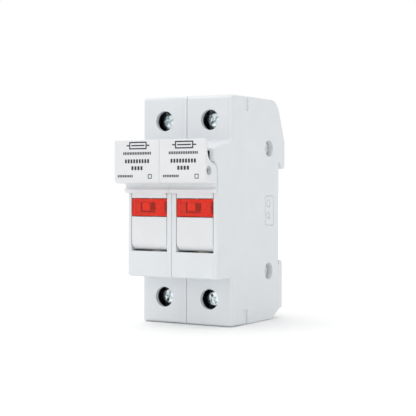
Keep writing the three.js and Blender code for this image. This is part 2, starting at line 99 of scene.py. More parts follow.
TERMINAL_FRONT = 9.7
BLOCK_BOTTOM = 16.4
HANDLE_TOP = 62.4
HANDLE_FOOT = 48.0
PIN_Y = 36.5
PIN_Z = (17.3, 60.7)
PIN_HOLE = 2.95
TIE_Y, TIE_Z = -5.65, 52.1
FUSE_Y = 8.6
TERMINAL_Z = {"lower": 8.9, "upper": 69.6}
SHARP = math.radians(28)
CORNER = math.radians(50)
WIDEST_FILLET = 2.0


# --- Mesh helpers --------------------------------------------------------

def emit(name, solid, body, slot, node=None, sharp=SHARP):
    """Turns a bmesh in millimetres into a piece that rides on a body and may stand for a CAD node."""
    bmesh.ops.recalc_face_normals(solid, faces=solid.faces)
    mesh = bpy.data.meshes.new(name)
    solid.to_mesh(mesh)
    solid.free()
    mesh.transform(Matrix.Translation((0, FRONT * MM, 0)) @ Matrix.Scale(MM, 4))
    mesh.shade_smooth()
    mesh.set_sharp_from_angle(angle=sharp)
    return settle(bpy.data.objects.new(name, mesh), body, slot, node)


def settle(piece, body, slot, node=None):
    """Links a finished piece, gives it its material, hides the CAD node it stands for, and hangs it on its
    body.
    """
    bpy.context.scene.collection.objects.link(piece)
    piece.data.materials.clear()
    piece.data.materials.append(MATERIALS[slot])
    if node:
        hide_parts(node)
    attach(piece, body)
    return piece


def body_of(node):
    bodies = frame["record"]["behaviour"]["bodies"]
    return next(body for body, nodes in bodies.items() if node in nodes)


def slot_of(node):
    subparts = frame["record"]["subparts"]
    return next(part["material_slot"] for part in subparts if part["node"] == node)


def cad_solid(node):
    """A CAD node's shape in millimetres, with its flat faces joined into one each."""
    solid = bmesh.new()
    solid.from_mesh(frame["nodes"][node].data)
    bmesh.ops.scale(solid, vec=(1 / MM,) * 3, verts=solid.verts)
    bmesh.ops.translate(solid, vec=(0, -FRONT, 0), verts=solid.verts)
    bmesh.ops.remove_doubles(solid, verts=solid.verts, dist=0.004)
    bmesh.ops.dissolve_limit(solid, angle_limit=math.radians(1), verts=solid.verts, edges=solid.edges)
    return solid


def soften(node, radius_of, name, segments=3, adjust=None):
    """Replaces a CAD node by the same shape with rounded edges.

    radius_of(a, b) gives the fillet of the edge from a to b, in millimetres from the pole's centre.
    """
    solid = cad_solid(node)
    centre = Vector((POLE_X.get(node.split("_")[0], 0), 0, 0))
    if adjust:
        for vertex in solid.verts:
            vertex.co = centre + adjust(vertex.co - centre)
    weights = solid.edges.layers.float.new("bevel_weight_edge")
    for edge in solid.edges:
        if len(edge.link_faces) == 2 and edge.calc_face_angle(0) > SHARP:
            start, end = (vertex.co - centre for vertex in edge.verts)
            edge[weights] = radius_of(start, end) / WIDEST_FILLET
            edge.smooth = edge[weights] > 0
    for face in solid.faces:
        face.smooth = True
    mesh = bpy.data.meshes.new(name)
    solid.to_mesh(mesh)
    solid.free()
    piece = bpy.data.objects.new(name, mesh)
    bpy.context.scene.collection.objects.link(piece)
    bevel = piece.modifiers.new("fillets", "BEVEL")
    bevel.limit_method = "WEIGHT"
    bevel.width = WIDEST_FILLET
    bevel.segments = segments
    bevel.use_clamp_overlap = False
    bevel.loop_slide = False
    bevel.miter_outer = "MITER_SHARP"
    bake_modifiers(piece)
    mark_corners(piece.data)
    normals = piece.modifiers.new("flat faces stay flat", "WEIGHTED_NORMAL")
    normals.weight = 90
    normals.keep_sharp = True
    bake_modifiers(piece)
    piece.data.transform(Matrix.Translation((0, FRONT * MM, 0)) @ Matrix.Scale(MM, 4))
    bpy.context.scene.collection.objects.unlink(piece)
    return settle(piece, body_of(node), slot_of(node), node)


def mark_corners(mesh):
    """Keeps the shading apart across each edge that the fillets have left as a corner."""
    solid = bmesh.new()
    solid.from_mesh(mesh)
    for edge in solid.edges:
        if len(edge.link_faces) == 2 and edge.calc_face_angle(0) > CORNER:
            edge.smooth = False
    solid.to_mesh(mesh)
    solid.free()


def bake_modifiers(piece):
    """Applies every modifier of a piece that is linked to the scene."""
    bpy.context.view_layer.update()
    evaluated = piece.evaluated_get(bpy.context.evaluated_depsgraph_get())
    mesh = bpy.data.meshes.new_from_object(evaluated)
    piece.modifiers.clear()
    piece.data = mesh


def even(radius):
    """A fillet rule that gives every sharp edge the same radius."""
    return lambda start, end: radius


def add_ring(solid, points):
    return [solid.verts.new(point) for point in points]


def skin(solid, rings):
    """Joins a row of equal rings by bands of faces, and closes both ends."""
    for first, second in zip(rings, rings[1:]):
        bridge(solid, first, second)
    solid.faces.new(rings[0])
    solid.faces.new(rings[-1])


def bridge(solid, first, second):
    """Joins two closed rings of equal length by a band of faces."""
    count = len(first)
    for i in range(count):
        following = (i + 1) % count
        solid.faces.new((first[i], first[following], second[following], second[i]))


def lathe(solid, profile, centre, axis, segments=48):
    """Turns (radius, distance along the axis) points about an axis through centre, as a closed solid.

    The profile starts and ends on the axis, or it closes on itself.
    """
    turn = axis_frame(axis)
    rings = []
    for radius, along in profile:
        if radius < 1e-6:
            rings.append([solid.verts.new(centre + turn @ Vector((0, 0, along)))])
            continue
        angles = (2 * math.pi * i / segments for i in range(segments))
        points = (Vector((radius * math.cos(a), radius * math.sin(a), along)) for a in angles)
        rings.append(add_ring(solid, [centre + turn @ point for point in points]))
    closed = profile[0] == profile[-1]
    if closed:
        for vertex in rings.pop():
            solid.verts.remove(vertex)
    pairs = list(zip(rings, rings[1:]))
    if closed:
        pairs.append((rings[-1], rings[0]))
    for first, second in pairs:
        if len(first) == 1 or len(second) == 1:
            tip, ring = (first[0], second) if len(first) == 1 else (second[0], first)
            for i in range(len(ring)):
                solid.faces.new((tip, ring[i], ring[(i + 1) % len(ring)]))
        else:
            bridge(solid, first, second)


def axis_frame(axis):
    """The turn that takes +Z to the named axis."""
    return {
        "X": Matrix(((0, 0, 1), (1, 0, 0), (0, 1, 0))),
        "Y": Matrix(((0, 1, 0), (0, 0, 1), (1, 0, 0))),
        "Z": Matrix.Identity(3),
    }[axis]


def prism(solid, outline, centre, axis, low, high):
    """Raises a closed outline of (u, v) points along an axis from low to high."""
    turn = axis_frame(axis)
    skin(solid, [
        add_ring(solid, [centre + turn @ Vector((u, v, along)) for u, v in outline])
        for along in (low, high)
    ])


def facing_block(solid, middle, width, height, corner, front, rear):
    """A block with round corners, width across and height up, which reaches from front to rear in Y."""
    outline = [(v, u) for u, v in rounded_outline(width, height, corner)]
    prism(solid, outline, middle, "Y", front, rear)


def rounded_outline(width, height, radius, steps=3):
    """A rectangle about the origin with round corners."""
    points = []
    for quarter, (sx, sy) in enumerate(((1, 1), (-1, 1), (-1, -1), (1, -1))):
        for step in range(steps + 1):
            angle = math.pi / 2 * (quarter + step / steps)
            points.append((
                sx * (width / 2 - radius) + radius * math.cos(angle),
                sy * (height / 2 - radius) + radius * math.sin(angle),
            ))
    return points


def subtract(piece_solid, cutter_solid):
    """Cuts one bmesh out of another with Blender's exact boolean."""
    objects = []
    for label, solid in (("whole", piece_solid), ("tool", cutter_solid)):
        bmesh.ops.recalc_face_normals(solid, faces=solid.faces)
        mesh = bpy.data.meshes.new(label)
        solid.to_mesh(mesh)
        solid.free()
        objects.append(bpy.data.objects.new(label, mesh))
        bpy.context.scene.collection.objects.link(objects[-1])
    whole, tool = objects
    boolean = whole.modifiers.new("cut", "BOOLEAN")
    boolean.operation = "DIFFERENCE"
    boolean.solver = "EXACT"
    boolean.object = tool
    bake_modifiers(whole)
    result = bmesh.new()
    result.from_mesh(whole.data)
    for thing in objects:
        bpy.data.objects.remove(thing, do_unlink=True)
    return result


# --- Materials -----------------------------------------------------------

class Surface:
    """A Principled material with noise in its colour, roughness and bump."""

    def __init__(self, name, color, roughness, metallic=0.0):
        self.material = bpy.data.materials.new(name)
        self.material.use_nodes = True
        self.tree = self.material.node_tree
        self.shader = self.tree.nodes["Principled BSDF"]
        self.shader.inputs["Metallic"].default_value = metallic
        self.coordinates = self.tree.nodes.new("ShaderNodeTexCoord").outputs["Object"]
        self.color = color
        self.roughness = roughness

    def link(self, output, socket):
        self.tree.links.new(output, socket)

    def noise(self, size_mm, detail, stretch=(1, 1, 1)):
        """Noise with features about size_mm across."""
        mapping = self.tree.nodes.new("ShaderNodeMapping")
        mapping.inputs["Scale"].default_value = stretch
        noise = self.tree.nodes.new("ShaderNodeTexNoise")
        noise.inputs["Scale"].default_value = 1 / (size_mm * MM)
        noise.inputs["Detail"].default_value = detail
        self.link(self.coordinates, mapping.inputs["Vector"])
        self.link(mapping.outputs["Vector"], noise.inputs["Vector"])
        return noise.outputs["Fac"]

    def spread(self, fac, low, high):
        """Maps noise, which stays near a half, to the range from low to high."""
        node = self.tree.nodes.new("ShaderNodeMapRange")
        node.inputs["From Min"].default_value = 0.3
        node.inputs["From Max"].default_value = 0.7
        node.inputs["To Min"].default_value = low
        node.inputs["To Max"].default_value = high
        self.link(fac, node.inputs["Value"])
        return node.outputs["Result"]

    def vary_color(self, fac, amount, tint=None):
        """Mixes between a darker and a lighter version of the base colour."""
        mix = self.tree.nodes.new("ShaderNodeMix")
        mix.data_type = "RGBA"
        dark = tint or tuple(c * (1 - amount) for c in self.color)
        light = tuple(min(1, c * (1 + amount)) for c in self.color)
        for name, color in (("A", dark), ("B", light)):
            socket = next(s for s in mix.inputs if s.name == name and s.type == "RGBA")
            socket.default_value = (*color, 1)
        self.link(self.spread(fac, 0, 1), mix.inputs[0])
        output = next(s for s in mix.outputs if s.type == "RGBA")
        self.link(output, self.shader.inputs["Base Color"])

    def vary_roughness(self, fac, amount):
        spread = self.spread(fac, self.roughness - amount, self.roughness + amount)
        self.link(spread, self.shader.inputs["Roughness"])

    def add_bump(self, fac, depth_mm):
        bump = self.tree.nodes.new("ShaderNodeBump")
        bump.inputs["Strength"].default_value = 1
        bump.inputs["Distance"].default_value = depth_mm * MM
        previous = self.shader.inputs["Normal"].links
        if previous:
            self.link(previous[0].from_socket, bump.inputs["Normal"])
        self.link(fac, bump.inputs["Height"])
        self.link(bump.outputs["Normal"], self.shader.inputs["Normal"])


def moulded_plastic(name, color, roughness, depth_mm=0.004):
    """Injection moulding: fine spark-eroded texture, slow flow marks, faint shade drift."""
    surface = Surface(name, color, roughness)
    surface.shader.inputs["IOR"].default_value = 1.5
    surface.vary_color(surface.noise(7, 3), 0.015)
    surface.vary_roughness(surface.noise(2.5, 4), 0.05)
    surface.add_bump(surface.noise(0.12, 2), depth_mm)
    surface.add_bump(surface.noise(5, 1), 0.006)
    return surface.material


def plated_metal(name, color, roughness, grain=(1, 1, 1), tint=None, dents_mm=0.0):
    """Plated metal: stretched grain, stains in the colour, uneven polish, and dents if it was cold formed."""
    surface = Surface(name, color, roughness, metallic=1.0)
    surface.vary_color(surface.noise(1.6, 4), 0.12, tint)
    surface.vary_roughness(surface.noise(0.35, 3, grain), 0.08)
    surface.add_bump(surface.noise(0.25, 3, grain), 0.003)
    if dents_mm:
        surface.add_bump(surface.noise(0.8, 1), dents_mm)
    return surface.material


def red_lens():
    """Clear red acrylic, a little milky, with faint flow marks, and a faint painted red glow."""
    surface = Surface("lens_red", (1.0, 0.19, 0.14), 0.05)
    # Painted glow: a faint red emission makes the window brighter than the light falling on it would.
    surface.shader.inputs["Emission Color"].default_value = (1, 0.04, 0.02, 1)
    surface.shader.inputs["Emission Strength"].default_value = 0.04
    surface.shader.inputs["IOR"].default_value = 1.15
    surface.shader.inputs["Transmission Weight"].default_value = 0.88
    surface.vary_color(surface.noise(3.5, 2), 0.03)
    surface.vary_roughness(surface.noise(1.2, 3), 0.03)
    surface.add_bump(surface.noise(2.2, 2), 0.004)
    return surface.material


def laminate():
    """Dark red-brown board with a woven glass grain."""
    surface = Surface("circuit_board", (0.07, 0.035, 0.035), 0.5)
    weave = surface.tree.nodes.new("ShaderNodeTexWave")
    weave.inputs["Scale"].default_value = 900
    weave.inputs["Distortion"].default_value = 1.5
    surface.link(surface.coordinates, weave.inputs["Vector"])
    surface.vary_color(weave.outputs["Fac"], 0.2)
    surface.vary_roughness(surface.noise(0.8, 3), 0.08)
    surface.add_bump(weave.outputs["Fac"], 0.01)
    return surface.material


def lamp_body():
    """Glossy cream plastic of the lamp, and of the white parts behind the window."""
    surface = Surface("lamp_body", (0.88, 0.84, 0.78), 0.3)
    surface.vary_color(surface.noise(0.9, 2), 0.04)
    surface.vary_roughness(surface.noise(0.5, 3), 0.06)
    surface.add_bump(surface.noise(0.3, 2), 0.004)
    return surface.material


def ceramic():
    """Unglazed steatite: warm white, with a powdery grain and a few darker specks."""
    surface = Surface("fuse_ceramic", (0.86, 0.83, 0.77), 0.62)
    surface.vary_color(surface.noise(1.1, 5), 0.05, tint=(0.79, 0.75, 0.67))
    surface.vary_roughness(surface.noise(0.4, 4), 0.08)
    surface.add_bump(surface.noise(0.18, 4), 0.012)
    return surface.material


def ink():
    """Pad-printed ink: near black, with a slightly uneven edge of gloss."""
    surface = Surface("printing_ink", (0.022, 0.024, 0.032), 0.45)
    surface.vary_color(surface.noise(0.7, 3), 0.25)
    surface.vary_roughness(surface.noise(0.3, 3), 0.08)
    surface.add_bump(surface.noise(0.12, 2), 0.003)
    return surface.material


MATERIALS = {
    "housing_white": moulded_plastic("housing_white", (0.73, 0.755, 0.775), 0.5),
    "carrier_white": moulded_plastic("carrier_white", (0.745, 0.755, 0.77), 0.42, depth_mm=0.003),
    "pin_plastic": moulded_plastic("pin_plastic", (0.74, 0.76, 0.775), 0.5),
    "lens_red": red_lens(),
    "circuit_board": laminate(),
    "lamp_body": lamp_body(),
    "fuse_ceramic": ceramic(),
    "nickel_plate": plated_metal("nickel_plate", (0.72, 0.69, 0.63), 0.22, tint=(0.56, 0.52, 0.45)),
    "silver_plate": plated_metal("silver_plate", (0.82, 0.8, 0.75), 0.28, (1, 1, 6), (0.6, 0.56, 0.47)),
    "spring_steel": plated_metal("spring_steel", (0.13, 0.135, 0.15), 0.3, (6, 1, 1), (0.08, 0.085, 0.1)),
    "printing_ink": ink(),
    "zinc_steel": plated_metal("zinc_steel", (0.8, 0.87, 0.88), 0.22, (6, 1, 1), (0.58, 0.68, 0.7)),
}
# Painted brightness: a lighter, glossier copy of the zinc for the screw heads, which sit in dark wells; its
# dents stand for the real cold-formed heads.
LIGHTENED_SCREW_ZINC = plated_metal("zinc_screw_painted_bright", (0.88, 0.94, 0.95), 0.16, (1, 6, 1), (0.6, 0.72, 0.75), 0.12)


# --- Housing -------------------------------------------------------------

# The fillet rules tell the CAD's edges apart by where they lie, within these limits.
SIDE_EDGE = POLE_HALF - 0.06
SIDE_RIM = POLE_HALF - 0.52
NEAR = 0.1
MARKS_Y = (14.2, 43.9)
MARKS_Z = (2.7, HEIGHT - 3.5)
WEDGE_REAR = 21
WEDGE_DEPTH = 5.2
INSERT_Y = (33.3, 40.4)
INSERT_Z = (33.1, 44.3)
BLOCK_TOP = 52
RAMP_TOP = 64
RAMP_REAR = 10

SEAM_GAP = 0.06
SEAM_CORNER = 0.28
FRONT_CORNER = 0.95
OUTLINE_FILLET = 0.35
PIN_HOLE_FILLET = 0.22
DRIVER_HOLE_FILLET = 0.15
MARK_FILLET = 0.09
INNER_FILLET = 0.13
# Edges across the pole, as (y, z): radius.
CROSS_FILLETS = {
    (TERMINAL_FRONT, HEIGHT): 1.4,
    (TERMINAL_FRONT, 0): 0.95,
    (0, BLOCK_BOTTOM): 0.9,
    (TERMINAL_FRONT, BLOCK_BOTTOM): 0.5,
    (38.8, 0): 0.4,
    (44, 2.6): 0.4,
    (48.8, 63.4): 0.8,
}
OTHER_CROSS_FILLET = 0.15


def between(value, limits):
    return limits[0] < value < limits[1]


def least_x(start, end):
    """How far from the pole's centre plane the nearer end of an edge lies."""
    return min(abs(start.x), abs(end.x))


def on_outline(point):
    """True for a point on the pole's outer outline, seen from the side."""
    inside_marks = between(point.y, MARKS_Y) and between(point.z, MARKS_Z)
    return not inside_marks or point.z < NEAR or point.z > HEIGHT - NEAR


def near_side_mark(point):
    """True near a wedge recess in the side's top or bottom edge, and near the insert's outline."""
    wedge = between(point.y, (MARKS_Y[0], WEDGE_REAR)) and min(point.z, HEIGHT - point.z) < WEDGE_DEPTH
    return wedge or between(point.y, INSERT_Y) and between(point.z, INSERT_Z)


def near_pin_hole(point):
    return min(math.hypot(point.y - PIN_Y, point.z - z) for z in PIN_Z) < PIN_HOLE + NEAR


def on_front_corner(middle, along):
    """True for the outline's edges at the front, which have the widest fillet all the way round."""
    before_terminals = middle.y < TERMINAL_FRONT + 0.01 and abs(along.y) < 0.999
    before_wedge = middle.y < MARKS_Y[0] + NEAR
    level_edge = min(abs(middle.z - z) for z in (0, BLOCK_BOTTOM, HEIGHT)) < 0.01
    ramp = BLOCK_TOP < middle.z < RAMP_TOP and middle.y < RAMP_REAR
    return before_terminals or before_wedge and level_edge or ramp


def at_seam(start, end):
    """True for an edge on the side that meets the other pole, where close_seam() has moved it."""
    return least_x(start, end) > POLE_HALF + 0.02


def housing_fillet(start, end):
    middle = (start + end) / 2
    along = (end - start).normalized()
    outline = on_outline(start) and on_outline(end)
    if outline and at_seam(start, end):
        return SEAM_CORNER
    if outline and least_x(start, end) > SIDE_RIM:
        return FRONT_CORNER if on_front_corner(middle, along) else OUTLINE_FILLET
    if least_x(start, end) > SIDE_EDGE and near_pin_hole(middle):
        return PIN_HOLE_FILLET
    if least_x(start, end) > SIDE_RIM and near_side_mark(middle):
        return MARK_FILLET
    if abs(along.x) > 0.99:
        return cross_fillet(middle)
    at_parting_line = abs(middle.x - INNER_HALF) < 0.05 and abs(along.x) < 0.1
    if at_parting_line:
        return 0
    return DRIVER_HOLE_FILLET if abs(middle.y - TERMINAL_FRONT) < 0.05 else INNER_FILLET


def cross_fillet(middle):
    """Fillets of the edges that run across the pole."""
    for (y, z), radius in CROSS_FILLETS.items():
        if math.hypot(middle.y - y, middle.z - z) < NEAR:
            return radius
    return OTHER_CROSS_FILLET


def close_parting_line(point):
    """Brings the shell's open edge up to the cover, so that only a fine parting line shows."""
    if abs(point.x - (INNER_HALF - 0.3)) < 0.01:
        return Vector((INNER_HALF - 0.03, point.y, point.z))
    return point


def close_seam(pole, point):
    """Brings the side that faces the other pole close to it, so that a fine line shows between them."""
    side = -math.copysign(1, POLE_X[pole])
    if point.x * side > POLE_HALF - 0.01:
        return Vector((side * (abs(POLE_X[pole]) - SEAM_GAP / 2), point.y, point.z))
    return point


def build_housing(pole):
    def fit(point):
        return close_seam(pole, close_parting_line(point))

    for part, label in (("housing_shell", "shell_moulding"), ("housing_cover", "cover_moulding")):
        soften(f"{pole}_{part}", housing_fillet, f"{pole}_{label}", adjust=fit)


# --- Carrier -------------------------------------------------------------

PRINT_RELIEF = 0.03
PRINT_THICK = 0.04
TOP_FILLET = 0.28
REAR_FILLET = 0.2
SIDE_FILLET = 0.3
SMALL_FILLET = 0.12
CARRIER_SEAM_FILLET = 0.15
FOOT_RADIUS = 2
TIE_HOLE_REACH = 1.7
# Where the fillets of the handle's side change over: lines in Y, and one in Z above the tie hole.
CHEEK_FRONT = -0.7
GRIP_FRONT, GRIP_REAR, GRIP_BOTTOM = -7.2, -7.6, 52
FOOT_REAR = -4.5
# Rows of printed blocks, as (left, right, bottom, top, count).
PRINTED_ROWS = (
    (-5.2, 5.8, 57.5, 58.4, 17),
    (-4.5, 5.1, 54.7, 56.0, 9),
    (-1.9, 2.5, 52.4, 53.7, 4),
    (-7.4, -1.4, 50.0, 50.8, 9),
)


def carrier_fillet(start, end):
    middle = (start + end) / 2
    along = (end - start).normalized()
    if abs(along.x) > 0.99:
        on_top = middle.y < GRIP_FRONT and middle.z > HANDLE_TOP - 0.5
        return TOP_FILLET if on_top else SMALL_FILLET
    if at_seam(start, end):
        return CARRIER_SEAM_FILLET
    return handle_side(middle) if least_x(start, end) > SIDE_EDGE else SMALL_FILLET


def handle_side(middle):
    """Edges round the handle's outer side: widest down its front, and sharper round its foot."""
    at_tie_hole = math.hypot(middle.y - TIE_Y, middle.z - TIE_Z) < TIE_HOLE_REACH
    behind = middle.y > CHEEK_FRONT or middle.z > GRIP_BOTTOM and middle.y > GRIP_REAR
    if behind and not at_tie_hole:
        return REAR_FILLET
    if at_tie_hole or middle.y > FOOT_REAR:
        return SMALL_FILLET
    drop = min(1, max(0, (HANDLE_FOOT + FOOT_RADIUS - middle.z) / FOOT_RADIUS))
    return SIDE_FILLET - (SIDE_FILLET - SMALL_FILLET) * math.asin(drop) / (math.pi / 2)


def hold_back_front(point):
    """Leaves room for the printing in front of the handle, inside the CAD box."""
    if point.y < -HANDLE_REACH + 0.01:
        return Vector((point.x, point.y + PRINT_RELIEF, point.z))
    return point


def build_carrier(pole):
    def fit(point):
        return close_seam(pole, hold_back_front(point))

    soften(f"{pole}_fuse_carrier", carrier_fillet, f"{pole}_carrier_moulding", adjust=fit)
    print_handle(pole)


def add_block_row(blocks, x0, x1, z0, z1, count):
    """Equal upright blocks from x0 to x1, which stand for a printed line and spell nothing."""
    filled = 0.66
    pitch = (x1 - x0) / (count - 1 + filled)
    for index in range(count):
        blocks.append((x0 + pitch * (index + filled / 2), (z0 + z1) / 2, pitch * filled, z1 - z0))


def print_handle(pole):
    """Plain printed marks on the handle: a fuse symbol, rows of blocks and a square.

    Each block is (x, z, width, height), measured from the pole's centre and the base.
    """
    blocks = []
    add_fuse_symbol(blocks, -3.9, 5.2, 59.3, 61.8)
    for row in PRINTED_ROWS:
        add_block_row(blocks, *row)
    add_square_mark(blocks, 5.4, 50.3, 1.5)
    solid = bmesh.new()
    for x, z, width, height in blocks:
        middle = Vector((POLE_X[pole] + x, 0, z))
        corner = min(width, height) * 0.2
        facing_block(solid, middle, width, height, corner, -HANDLE_REACH, -HANDLE_REACH + PRINT_THICK)
    emit(f"{pole}_handle_printing", solid, "fuse_carriers", "printing_ink")


def add_fuse_symbol(blocks, x0, x1, z0, z1):
    """The circuit symbol of a fuse: a box with a line through it, which sticks out at both ends."""
    line = 0.42
    lead = 1.5
    middle = (z0 + z1) / 2
    left, right = x0 + lead, x1 - lead
    blocks.append(((x0 + left - line) / 2, middle, left - line - x0, line))
    blocks.append(((right + line + x1) / 2, middle, x1 - right - line, line))
    blocks.append(((left + right) / 2, middle, right - left - 2 * line, line))
    for z in (z0 + line / 2, z1 - line / 2):
        blocks.append(((left + right) / 2, z, right - left + 2 * line, line))
    for x in (left - line / 2, right + line / 2):
        blocks.append((x, middle, line, z1 - z0 - 2 * line))


def add_square_mark(blocks, x, z, size):
    """A plain square drawn with a thin line, centred at x, z."""
    line = 0.24
    for side in (-1, 1):
        blocks.append((x, z + side * (size - line) / 2, size, line))
        blocks.append((x + side * (size - line) / 2, z, line, size - 2 * line))


# --- Indicator -----------------------------------------------------------

LENS_HALF = 6.95
LENS_THICK = 0.9
SEAT_GAP = 0.05
SEAT_REAR = 2.55
BOARD_FRONT = 1.62
WINDOW_Z = 40.0
SOLDER_JOINTS = 9
# What shows through the window, as name: (left, right, front, rear, bottom, top, slot).
BEHIND_WINDOW = {
    "lens_backing": (-5.95, 5.3, 1.64, 1.8, 38.0, 41.9, "lamp_body"),
    "indicator_socket": (-5.9, -4.1, 1.15, BOARD_FRONT, 38.35, 41.65, "pin_plastic"),
    "board_edge": (-4.05, -3.5, 1.45, BOARD_FRONT, 38.3, 41.7, "circuit_board"),
}


def build_indicator(pole):
    build_lens(pole)
    build_lens_seat(pole)
    soften(f"{pole}_indicator_lamp", even(0.1), f"{pole}_lamp_block")
    soften(f"{pole}_indicator_resistor", even(0.1), f"{pole}_resistor_block")
    soften(f"{pole}_indicator_board", even(0.05), f"{pole}_board")
    for label, (left, right, front, rear, bottom, top, slot) in BEHIND_WINDOW.items():
        block = bmesh.new()
        middle = Vector((POLE_X[pole] + (left + right) / 2, 0, (bottom + top) / 2))
        facing_block(block, middle, right - left, top - bottom, 0.15, front, rear)
        emit(f"{pole}_{label}", block, "fuse_carriers", slot)
    build_solder_joints(pole)
    build_gate_ring(pole)


def build_solder_joints(pole):
    """A row of small soldered pins along the board's lower edge, pointing forward."""
    joints = bmesh.new()
    profile = [(0, BOARD_FRONT), (0.2, BOARD_FRONT), (0.2, 1.4), (0.13, 1.15), (0, 1.1)]
    for index in range(SOLDER_JOINTS):
        lathe(joints, profile, Vector((POLE_X[pole] - 3.2 + index * 0.55, 0, 38.55)), "Y", 12)
    emit(f"{pole}_solder_joints", joints, "fuse_carriers", "circuit_board")


def build_gate_ring(pole):
    """The ring that the moulding gate leaves behind the window."""
    inner, outer, front, rear, bevel = 0.62, 0.82, 1.4, 1.63, 0.05
    profile = [
        (inner, rear), (inner, front + bevel), (inner + 0.06, front),
        (outer - 0.06, front), (outer, front + bevel), (outer, rear), (inner, rear),
    ]
    gate = bmesh.new()
    lathe(gate, profile, Vector((POLE_X[pole] + 4.45, 0, WINDOW_Z)), "Y", 32)
    emit(f"{pole}_gate_ring", gate, "fuse_carriers", "pin_plastic")


def lens_span(pole):
    """The window's middle and height in Z, from the CAD lens."""
    low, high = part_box(f"{pole}_indicator_lens")
    return (high.z + low.z) / 2 / MM, (high.z - low.z) / MM


def build_lens(pole):
    """A clear window with a small round on its front edge."""
    middle, height = lens_span(pole)
    window = bmesh.new()
    rings = []
    for y, inset in ((0, 0.1), (0.03, 0.03), (0.1, 0), (LENS_THICK, 0)):
        outline = rounded_outline(2 * LENS_HALF - 2 * inset, height - 2 * inset, 0.15)
        points = [Vector((POLE_X[pole] + x, y, middle + z)) for x, z in outline]
        rings.append(add_ring(window, points))
    skin(window, rings)
    emit(f"{pole}_lens_window", window, "fuse_carriers", "lens_red", f"{pole}_indicator_lens")


def build_lens_seat(pole):
    """A white frame behind the window's rim, narrower at the right than at the left."""
    middle, height = lens_span(pole)
    outer = (SEAT_GAP - LENS_HALF, LENS_HALF - SEAT_GAP, height / 2 - SEAT_GAP)
    inner = (-6, 6.75, height / 2 - 0.9)
    seat = bmesh.new()
    ends = []
    for y in (LENS_THICK + SEAT_GAP, SEAT_REAR):
        for left, right, half_height in (outer, inner):
            corners = ((left, -1), (right, -1), (right, 1), (left, 1))
            points = [Vector((POLE_X[pole] + x, y, middle + sz * half_height)) for x, sz in corners]
            ends.append(add_ring(seat, points))
    front_out, front_in, rear_out, rear_in = ends
    around = (front_out, front_in, rear_in, rear_out)
    for first, second in zip(around, around[1:] + around[:1]):
        bridge(seat, first, second)
    emit(f"{pole}_lens_seat", seat, "fuse_carriers", "lamp_body")


# --- Fuse and contacts ---------------------------------------------------

def build_fuse(pole):
    centre = Vector((POLE_X[pole], FUSE_Y, 0))
    for level, direction in (("upper", 1), ("lower", -1)):
        node = f"{pole}_fuse_cap_{level}"
        low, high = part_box(node)
        end = (high.z if direction > 0 else low.z) / MM
        mouth = (low.z if direction > 0 else high.z) / MM
        solid = bmesh.new()
        lathe(solid, cap_profile(end, mouth, direction), centre, "Z", 64)
        emit(f"{pole}_cap_{level}", solid, "fuse_carriers", "nickel_plate", node)
    soften(f"{pole}_fuse_tube", even(0.2), f"{pole}_ceramic_tube")


def cap_profile(end, mouth, direction):
    """A drawn cup with a rounded end, a crimped ring near its mouth and a rolled lip."""
    radius, wall = 5.15, 0.4
    length = abs(end - mouth)
    crimp = length - 2.2

    def at(distance):
        return end - direction * distance

    outside = [
        (0, at(0.12)), (2.2, at(0.12)), (2.6, at(0)), (radius - 0.75, at(0)),
        (radius - 0.35, at(0.1)), (radius - 0.1, at(0.35)), (radius, at(0.75)),
        (radius, at(crimp - 0.5)), (radius - 0.22, at(crimp - 0.2)), (radius - 0.22, at(crimp + 0.2)),
        (radius, at(crimp + 0.5)), (radius, at(length - 0.15)), (radius - 0.12, at(length)),
    ]
    inside = [
        (radius - wall + 0.05, at(length)), (radius - wall, at(length - 0.15)),
        (radius - wall, at(0.5)), (0, at(0.5)),
    ]
    return outside + inside


def build_contacts(pole):
    for level in ("upper", "lower"):
        soften(f"{pole}_contact_{level}", even(0.16), f"{pole}_jaw_{level}")
        soften(f"{pole}_contact_spring_{level}", even(0.1), f"{pole}_jaw_spring_{level}")
    for level in ("upper", "lower"):
        soften(f"{pole}_indicator_lead_{level}", even(0.06), f"{pole}_lead_{level}")
    soften(f"{pole}_fuse_element", even(0.03), f"{pole}_element_strip")


# --- Terminals -----------------------------------------------------------

HEAD_FRONT = 12.9
HEAD_REAR = 16.4
HEAD_RADIUS = 3.15
SHANK_END = 23.4
THREAD_PITCH = 0.8
THREAD_MINOR = 1.98
THREAD_MAJOR = 2.34
SLOT_HALF_WIDTH = 0.48
# Dark plates that paint the shade inside each terminal's chamber: their depth, height and corner, and their
# reach from the pole's centre.
SHADE_PLATE_DEPTH, SHADE_PLATE_HEIGHT, SHADE_PLATE_CORNER = 8.2, 10.0, 0.8
SHADE_PLATE_INNER, SHADE_PLATE_OUTER = 6.3, 7.1
# How far each screw happens to stand turned, in radians.
SCREW_TURNS = {"left_lower": 0.35, "left_upper": 1.15, "right_lower": 2.6, "right_upper": 0.8}


def build_terminals(pole):
    for level, z in TERMINAL_Z.items():
        soften(f"{pole}_terminal_cage_{level}", even(0.3), f"{pole}_cage_{level}", segments=2)
        build_painted_shade_plates(pole, level, z)
        build_screw(pole, level, z)


def build_painted_shade_plates(pole, level, z):
    """Two dark plates, one on each side of the cage, which paint shade into the terminal's chamber."""
    solid = bmesh.new()
    outline = rounded_outline(SHADE_PLATE_DEPTH, SHADE_PLATE_HEIGHT, SHADE_PLATE_CORNER)
    for low, high in ((-SHADE_PLATE_OUTER, -SHADE_PLATE_INNER), (SHADE_PLATE_INNER, SHADE_PLATE_OUTER)):
        prism(solid, outline, Vector((POLE_X[pole], HEAD_REAR, z)), "X", low, high)
    # The plates' dark steel is painted shade.
    emit(f"{pole}_shade_plate_{level}", solid, "housing", "spring_steel")


